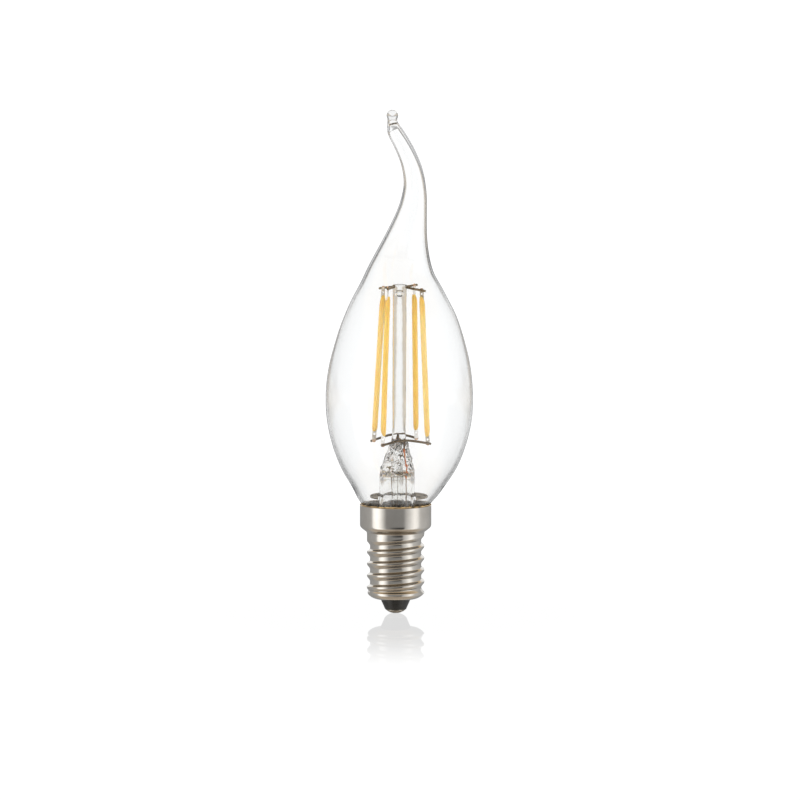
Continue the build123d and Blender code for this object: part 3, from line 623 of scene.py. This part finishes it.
# how each coating ends: (length of the taper, sideways skew) at the foot and at the head
ENDS = [((1.2, -0.2), (3.0, 0.5)), ((2.4, 0.6), (2.4, 0.7)), ((1.8, -0.4), (2.4, -0.6)), ((2.2, -0.3), (2.4, -0.5))]
for k in range(4):
    axis = unit(np.subtract(TOP[k], FOOT[k]))
    head, hn = weld(TOP[k], axis, TOP_RUN[k], SIDE[k])
    foot, fn = weld(FOOT[k], axis, FOOT_RUN[k], SIDE[k])
    length = np.linalg.norm(head - foot)
    axis = unit(head - foot)
    facing = unit(hn + fn * (1 if hn.dot(fn) > 0 else -1))
    across = unit(np.cross(facing, axis))
    facing = unit(np.cross(axis, across))
    if across[0] < 0:
        across = -across
    lo, hi = START[k], length - STOP[k]
    u = np.concatenate([lo + (1 - np.cos(np.linspace(0.08, math.pi / 2, 26))) * 2.4, np.linspace(lo + 2.45, hi - 2.45, 190), hi - (1 - np.cos(np.linspace(math.pi / 2, 0.08, 26))) * 2.4])
    f = np.arange(36) * TAU / 36
    c, s = np.cos(f), np.sin(f)
    c, s = np.sign(c) * np.abs(c) ** 0.74, np.sign(s) * np.abs(s) ** 0.74
    loops = []
    for q in u:
        size, shift = 1.0, 0.0
        for dist, (taper, skew) in ((q - lo, ENDS[k][0]), (hi - q, ENDS[k][1])):
            g = min(1.0, max(0.0, dist / taper))
            e = 0.30 + 0.70 * math.sqrt(max(0.0, 1 - (1 - g) ** 2))
            size *= e
            shift += skew * 0.67 * (1 - e)
        lump = np.array([1 + 0.035 * wave(c[j] * 0.8 + k * 5, s[j] * 0.8, q * 0.33) + 0.018 * wave(c[j] * 2, s[j] * 2 + k * 3, q * 1.3) for j in range(36)])
        loops.append(foot + axis * q + across * shift + (c * 0.66 * size * lump)[:, None] * across + (s * 0.51 * (0.45 + 0.55 * size) * lump)[:, None] * facing)
    ends = [foot + axis * (lo - 0.02) + across * (ENDS[k][0][1] * 0.67 * 0.7), foot + axis * (hi + 0.02) + across * (ENDS[k][1][1] * 0.67 * 0.7)]
    piece(f"filament_{k + 1}_coating", [skin(loops, first=ends[0], last=ends[1])], PHOSPHOR_DEEP if k in (1, 2) else PHOSPHOR, [f"filament_{k + 1}_phosphor"], 60)

# ------------------------------------------------------------------ screw cap
PITCH, PHASE = 2.822, 4.80
CN = 160


THREAD = [  # height above a crest, radius
    (-1.722, 6.10), (-1.50, 6.105), (-1.30, 6.13), (-1.10, 6.22), (-0.90, 6.36), (-0.70, 6.51), (-0.50, 6.67), (-0.36, 6.78), (-0.24, 6.83), (-0.08, 6.85), (0.06, 6.85),
    (0.15, 6.83), (0.23, 6.76), (0.31, 6.64), (0.40, 6.49), (0.50, 6.33), (0.60, 6.20), (0.72, 6.125), (0.86, 6.105), (1.10, 6.10),
]
FOOT_BASE = ([4.42, 4.62, 4.90, 5.20, 5.60, 6.00, 6.50], [6.44, 6.58, 6.68, 6.60, 6.34, 6.13, 6.10])


def thread(z):
    """Radius round the cap at height z: rolled right-hand thread, its upper flank the steeper; it rises out of the rounded foot and runs out into the band."""
    th = np.arange(CN) / CN
    up = ((z - PHASE) / PITCH - th) % 1.0 * PITCH              # above the crest below
    up = np.where(up > 1.10, up - PITCH, up)
    rad = np.interp(up, *THREAD_FINE)
    over = np.where(up > 0, z - up + PITCH, z - up)            # height of the crest above
    out = ease(18.95, 20.25, over)
    rad = rad * (1 - out) + 6.86 * out
    born = ease(3.45, 4.95, z - up)                            # crests below the first one have not risen yet
    base = float(np.interp(z, *FOOT_BASE))
    rad = 6.10 + (rad - 6.10) * born
    rad = 0.5 * (rad + base + np.sqrt((rad - base) ** 2 + 0.05 ** 2)) - 0.025
    start = float(ease(4.45, 4.95, z))
    return base * (1 - start) + rad * start


rows = spline(THREAD, 200, 2)
THREAD_FINE = (rows[:, 0], rows[:, 1])


def cap_loop(z, r=None, inset=0.0, blend=0.0):
    f = np.arange(CN) * TAU / CN
    rad = thread(z) if r is None else np.full(CN, r)
    if blend:
        rad = rad * (1 - blend) + 6.86 * blend
    rad = rad - inset
    return np.stack([rad * np.cos(f), rad * np.sin(f), np.full(CN, z)], -1)


BOWL = [(3.62, 3.62), (3.60, 3.50), (3.70, 3.41), (3.85, 3.40), (4.30, 3.43), (4.75, 3.50), (5.18, 3.62), (5.55, 3.78), (5.90, 3.98), (6.20, 4.20), (6.44, 4.42)]
SKIRT = [(6.86, 18.95), (6.86, 19.12), (6.87, 19.28), (6.91, 19.42), (7.00, 19.54), (7.14, 19.65), (7.45, 19.89), (7.80, 20.16), (8.06, 20.37), (8.24, 20.55), (8.38, 20.75), (8.46, 20.95), (8.49, 21.15), (8.50, 21.4)]
SKIRT += [(8.50, z) for z in np.linspace(21.8, 25.4, 10)] + [(8.50, 25.62), (8.49, 25.76), (8.455, 25.87), (8.40, 25.93), (8.34, 25.95), (8.27, 25.93), (8.22, 25.87), (8.20, 25.76)]
SKIRT_IN = [(8.20, z) for z in np.linspace(25.4, 21.3, 8)] + [(8.15, 20.98), (8.02, 20.78), (7.75, 20.52), (7.30, 20.16), (6.90, 19.86), (6.64, 19.6), (6.56, 19.3), (6.56, 18.95)]
loops = [cap_loop(z, r) for r, z in BOWL]
for z in np.arange(4.55, 18.90, 0.06):
    loops.append(cap_loop(z))
thread_loops = loops[len(BOWL):]
loops += [cap_loop(z, r) for r, z in SKIRT]
loops += [cap_loop(z, r) for r, z in SKIRT_IN]
for row in thread_loops[::-3]:
    rad = np.hypot(row[:, 0], row[:, 1]) - 0.30
    loops.append(np.stack([row[:, 0] * rad / (rad + 0.30), row[:, 1] * rad / (rad + 0.30), row[:, 2]], -1))
loops += [cap_loop(z, r) for r, z in ((6.05, 4.55), (5.60, 4.15), (5.00, 3.90), (4.40, 3.76), (3.95, 3.71), (3.72, 3.69))]
piece("cap_shell_rolled", [skin(loops, ring=True)], NICKEL, ["cap_shell"], 60)

# cement: fills the skirt round the neck and stands as a thin bead between the rim and the glass
def neck(z):
    return np.interp(z, outer_rows[:, 1], outer_rows[:, 0]), np.interp(z, outer_rows[:, 1], outer_rows[:, 2])


loops = []
for r, z in ((8.19, 21.62), (8.19, 22.4), (8.19, 23.6), (8.19, 24.8), (8.19, 25.6), (8.20, 25.92), (8.30, 25.97), (8.42, 25.975), (8.50, 26.02), (8.53, 26.10), (8.50, 26.19), (8.40, 26.23), (8.25, 26.16)):
    loop = turned([(r, z)], 144)[0]
    lift = float(ease(25.97, 26.1, z))
    if z > 25.95:
        near = ease(-0.35, 0.55, -np.sin(np.arange(144) * TAU / 144))
        loop[:, 2] = 25.95 + (z - 25.95) * (0.12 + 0.88 * near)
    if lift > 0:
        for j in range(144):
            a = j * TAU / 144
            loop[j, :2] *= 1 + lift * (0.006 * wave(math.cos(a) * 6, math.sin(a) * 6, 2.0) + 0.006 * wave(math.cos(a) * 17, math.sin(a) * 17, z * 3.0))
            loop[j, 2] += lift * (0.2 + 0.8 * near[j]) * (0.07 * wave(math.cos(a) * 5, math.sin(a) * 5, 9.0) + 0.06 * wave(math.cos(a) * 14, math.sin(a) * 14, 4.0))
    loops.append(loop)
for z in (25.95, 25.8, 25.5, 25.0, 24.0, 23.0, 22.0, 21.62):
    x, r = neck(z)
    loops.append(leaning(x, z, r + 0.012, 0, 144))
piece("cement_bead", [skin(loops, ring=True)], CEMENT, ["basing_cement"], 60)

# black glass insulator, moulded in the cap's end
INS = [(2.30, 0.98), (2.38, 0.95), (2.48, 0.97), (2.56, 1.06), (2.66, 1.28), (2.95, 1.95), (3.35, 2.85), (3.50, 3.25), (3.58, 3.55), (3.75, 3.74), (4.40, 3.84), (5.0, 3.98), (5.5, 4.25), (5.7, 4.6), (5.7, 5.6), (5.5, 5.8), (2.2, 5.8), (1.5, 5.6), (0.5, 5.5)]
ins = []
for r, z in INS:
    loop = turned([(r, z)], 112)[0]
    if r > 2.5 and z < 3.4:
        for j in range(112):
            g = 1 + 0.006 * wave(loop[j, 0] * 0.9, loop[j, 1] * 0.9, z * 0.8)
            loop[j, 0] *= g
            loop[j, 1] *= g
    ins.append(loop)
piece("cap_insulator_moulded", [skin(ins, first=(0, 0, 1.05), last=(0, 0, 5.5))], BLACK_GLASS, ["cap_insulator"], 50)

# solder drop on the centre contact, its border ragged where it wetted the plate
drop = []
DROP = [(0.25, 0.012), (0.55, 0.03), (0.85, 0.08), (1.10, 0.14), (1.36, 0.23), (1.60, 0.34), (1.82, 0.45), (2.00, 0.56), (2.18, 0.70), (2.32, 0.84), (2.38, 0.93), (2.36, 0.965)]
for r, z in DROP:
    loop = turned([(r, z)], 112)[0]
    for j in range(112):
        a = j * TAU / 112
        g = 1 + 0.055 * (r / 2.2) * wave(math.cos(a) * 2.4, math.sin(a) * 2.4, 1.7) + 0.03 * (r / 2.2) * wave(math.cos(a) * 7, math.sin(a) * 7, 5.0)
        loop[j, 0] *= g
        loop[j, 1] *= g
        loop[j, 2] += 0.05 * ease(0.3, 1.2, r) * (1 - ease(1.7, 2.15, r)) * wave(loop[j, 0] * 1.3, loop[j, 1] * 1.3, 3.3) + 0.0
        loop[j, 2] = max(loop[j, 2], 0.0)
    drop.append(loop)
piece("contact_solder_drop", [skin(drop, first=(0, 0, 0.0), last=(0, 0, 0.975))], SOLDER, ["contact_solder"], 50)

# ------------------------------------------------------------------ studio
def node_math(tree, op, a, b=None, c=None):
    node = add(tree, "ShaderNodeMath", operation=op)
    for sock, val in ((0, a), (1, b), (2, c)):
        if val is None:
            continue
        if isinstance(val, (int, float)):
            node.inputs[sock].default_value = val
        else:
            tree.links.new(val, node.inputs[sock])
    return node.outputs[0]


def smooth(tree, value, lo, hi, start=0.0, end=1.0):
    r = add(tree, "ShaderNodeMapRange", interpolation_type="SMOOTHSTEP")
    for key, val in (("From Min", lo), ("From Max", hi), ("To Min", start), ("To Max", end)):
        r.inputs[key].default_value = val
    tree.links.new(value, r.inputs["Value"])
    return r.outputs["Result"]


def blend(tree, fac, a, b):
    n = add(tree, "ShaderNodeMix", data_type="RGBA")
    for sock in n.inputs:
        if sock.name == "Factor" and sock.type == "VALUE":
            tree.links.new(fac, sock)
        if sock.type == "RGBA" and sock.name in "AB":
            val = a if sock.name == "A" else b
            if isinstance(val, tuple):
                sock.default_value = (*val, 1)
            else:
                tree.links.new(val, sock)
    return next(o for o in n.outputs if o.type == "RGBA")


def ramp(tree, fac, stops, top):
    """Colour ramp whose levels may pass 1: they are stored divided by top."""
    r = add(tree, "ShaderNodeValToRGB")
    e = r.color_ramp.elements
    while len(e) < len(stops):
        e.new(0.5)
    for el, (pos, col) in zip(e, stops):
        el.position = pos
        col = (col, col, col) if isinstance(col, (int, float)) else col
        el.color = (col[0] / top, col[1] / top, col[2] / top, 1)
    tree.links.new(fac, r.inputs["Fac"])
    return r.outputs["Color"]


# white paper laid in a cross on a pale grey floor, a soft mirror near the bulb
floor_me = bpy.data.meshes.new("floor")
n = 96
floor_me.from_pydata([(3.2 * math.cos(a * TAU / n), 3.2 * math.sin(a * TAU / n), 0) for a in range(n)], [], [list(range(n))])
floor = bpy.data.objects.new("floor", floor_me)
scene.collection.objects.link(floor)
fm = bpy.data.materials.new("floor_white")
fm.use_nodes = True
ft = fm.node_tree
ft.nodes.clear()
fc = add(ft, "ShaderNodeTexCoord")
fx = add(ft, "ShaderNodeSeparateXYZ")
ft.links.new(fc.outputs["Object"], fx.inputs[0])
across = node_math(ft, "ABSOLUTE", fx.outputs["X"])
along = node_math(ft, "ABSOLUTE", fx.outputs["Y"])
away = node_math(ft, "POWER", node_math(ft, "ADD", node_math(ft, "MULTIPLY", fx.outputs["X"], fx.outputs["X"]), node_math(ft, "MULTIPLY", fx.outputs["Y"], fx.outputs["Y"])), 0.5)
front = smooth(ft, fx.outputs["Y"], 0.0, 0.16)
lanes = []
for side, length in ((across, along), (along, across)):
    lanes.append(smooth(ft, node_math(ft, "DIVIDE", side, node_math(ft, "MULTIPLY_ADD", length, 1 / 3.0, 1.0)), 0.105, 0.22, 1.0, 0.0))
white = node_math(ft, "MAXIMUM", lanes[0], lanes[1])
glow = add(ft, "ShaderNodeEmission")
ft.links.new(blend(ft, white, blend(ft, smooth(ft, away, 0.34, 0.50), (0.36, 0.33, 0.285), (0.70, 0.63, 0.545)), blend(ft, front, (1.08, 1.08, 1.08), (1.125, 1.125, 1.125))), glow.inputs["Color"])
mirror = add(ft, "ShaderNodeBsdfGlossy", Roughness=0.02)
both = add(ft, "ShaderNodeMixShader")
ft.links.new(smooth(ft, away, 0.035, 0.125, 0.34, 0.0), both.inputs[0])
ft.links.new(glow.outputs[0], both.inputs[1])
ft.links.new(mirror.outputs[0], both.inputs[2])
fo = add(ft, "ShaderNodeOutputMaterial")
ft.links.new(both.outputs[0], fo.inputs["Surface"])
floor_me.materials.append(fm)
floor.visible_glossy = False

# studio round it: white wall behind, two soft boxes before it, dim ceiling
world = bpy.data.worlds.new("studio")
scene.world = world
world.use_nodes = True
wt = world.node_tree
wt.nodes.clear()
co = add(wt, "ShaderNodeTexCoord")
sep = add(wt, "ShaderNodeSeparateXYZ")
wt.links.new(co.outputs["Generated"], sep.inputs[0])
rise = sep.outputs["Z"]
# bearing round the bulb: 0 towards the viewer, positive to the right, half a turn behind
bearing = node_math(wt, "ARCTAN2", sep.outputs["X"], node_math(wt, "MULTIPLY", sep.outputs["Y"], -1.0))
turnpos = node_math(wt, "MULTIPLY_ADD", bearing, 1 / TAU, 0.5)
deg = lambda d: (d + 180) / 360

# what metal and the glass surfaces mirror
LEVEL = [
    (-180, 0.34), (-160, 0.38), (-148, 0.38), (-91, 0.50), (-83, 0.64), (-77, 1.46), (-62, 1.80), (-52, 1.46), (-44, 1.03), (-37, 0.64), (-30, 0.33),
    (0, 0.31), (26, 0.33), (34, 0.60), (41, 0.78), (48, 0.93), (55, 1.17), (65, 1.45), (77, 1.20), (86, 0.75), (95, 0.67), (148, 0.44), (160, 0.38), (180, 0.34),
]
level = ramp(wt, turnpos, [(deg(d), v) for d, v in LEVEL], 2.0)
WALL = [(-180, 1.06), (-156, 1.06), (-140, 0.45), (140, 0.45), (156, 1.06), (180, 1.06)]
wall_side = node_math(wt, "MULTIPLY", smooth(wt, rise, 0.0, 0.05), smooth(wt, node_math(wt, "ABSOLUTE", bearing), math.radians(136), math.radians(150)))
level = blend(wt, wall_side, level, ramp(wt, turnpos, [(deg(d), v) for d, v in WALL], 2.0))
# the dark room beyond the viewer, below the level view
FRONT = [(-180, 1.0), (-24, 1.0), (-8, 0.46), (6, 0.27), (27, 0.21), (32, 1.0), (180, 1.0)]
below = node_math(wt, "MULTIPLY", rise, -1.0)
gloom = blend(wt, node_math(wt, "MULTIPLY", smooth(wt, below, 0.125, 0.22), smooth(wt, below, 0.45, 0.75, 1.0, 0.25)), (1.0, 1.0, 1.0), ramp(wt, turnpos, [(deg(d), v) for d, v in FRONT], 1.0))
height = node_math(wt, "MULTIPLY_ADD", rise, 0.5, 0.5)
tilt = ramp(wt, height, [(0.0, (0.42, 0.36, 0.30)), (0.05, (0.52, 0.44, 0.35)), (0.14, (0.60, 0.53, 0.44)), (0.50, (0.60, 0.55, 0.48)),
                         (0.74, (0.80, 0.66, 0.48)), (0.86, (0.56, 0.43, 0.28)), (0.92, (0.07, 0.06, 0.045)), (1.0, (0.03, 0.03, 0.03))], 2.0)
flat = node_math(wt, "MULTIPLY", smooth(wt, rise, 0.38, 0.56, 1.0, 0.0), smooth(wt, rise, -0.82, -0.55))
mirrored = blend(wt, flat, tilt, level)
dimmed = add(wt, "ShaderNodeMix", data_type="RGBA", blend_type="MULTIPLY")
for sock in dimmed.inputs:
    if sock.name == "Factor" and sock.type == "VALUE":
        sock.default_value = 1.0
    if sock.type == "RGBA":
        wt.links.new(mirrored if sock.name == "A" else gloom, sock)
mirrored = next(o for o in dimmed.outputs if o.type == "RGBA")

# what is seen through the glass
BEHIND = [(-180, 1.20), (-167, 1.20), (-150, 0.52), (-100, 0.50), (-84, 0.56), (-30, 0.36), (0, 0.34), (30, 0.36), (84, 0.56), (100, 0.50), (150, 0.52), (167, 1.20), (180, 1.20)]
ABOVE = [(-180, 1.20), (-120, 1.20), (-95, 0.60), (-60, 0.40), (60, 0.40), (95, 0.60), (120, 1.20), (180, 1.20)]
through = blend(wt, smooth(wt, rise, 0.10, 0.24), ramp(wt, turnpos, [(deg(d), v) for d, v in BEHIND], 2.0), ramp(wt, turnpos, [(deg(d), v) for d, v in ABOVE], 2.0))
through = blend(wt, smooth(wt, rise, 0.60, 0.85), through, (0.30, 0.30, 0.30))

path = add(wt, "ShaderNodeLightPath")
# light that has already bounced between the turns of the thread comes from a darker room
deep = smooth(wt, path.outputs["Glossy Depth"], 1.2, 1.8, 1.0, 0.48)
dimmed = add(wt, "ShaderNodeMix", data_type="RGBA", blend_type="MULTIPLY")
for sock in dimmed.inputs:
    if sock.name == "Factor" and sock.type == "VALUE":
        sock.default_value = 1.0
    if sock.type == "RGBA":
        wt.links.new(mirrored if sock.name == "A" else deep, sock)
mirrored = next(o for o in dimmed.outputs if o.type == "RGBA")
lit = blend(wt, path.outputs["Is Glossy Ray"], through, mirrored)
soft = node_math(wt, "GREATER_THAN", path.outputs["Diffuse Depth"], 0.5)
lit = blend(wt, soft, lit, (1.14, 1.14, 1.14))
sky = add(wt, "ShaderNodeBackground", Strength=2.0)
wt.links.new(lit, sky.inputs["Color"])
out = add(wt, "ShaderNodeOutputWorld")
wt.links.new(sky.outputs[0], out.inputs["Surface"])

# ------------------------------------------------------------------ camera
cam = bpy.data.cameras.new("camera")
cam.sensor_width = 36.0
DIST = 3.0
cam.lens = 36.0 * DIST / (800 / 4.21 * MM)
cam.clip_start, cam.clip_end = 0.1, 50.0
eye = bpy.data.objects.new("camera", cam)
aim = Vector((1.045, 0.0, 50.94)) * MM
el = math.radians(6.0)
eye.location = aim + Vector((0, -math.cos(el), math.sin(el))) * DIST
eye.rotation_euler = (aim - eye.location).to_track_quat("-Z", "Y").to_euler()
scene.collection.objects.link(eye)
scene.camera = eye

scene.view_settings.view_transform = "Standard"
scene.view_settings.look = "None"
scene.cycles.max_bounces = 40
scene.cycles.transmission_bounces = 32
scene.cycles.glossy_bounces = 12
scene.cycles.transparent_max_bounces = 16
scene.cycles.caustics_refractive = True
scene.cycles.caustics_reflective = True
scene.cycles.use_denoising = True
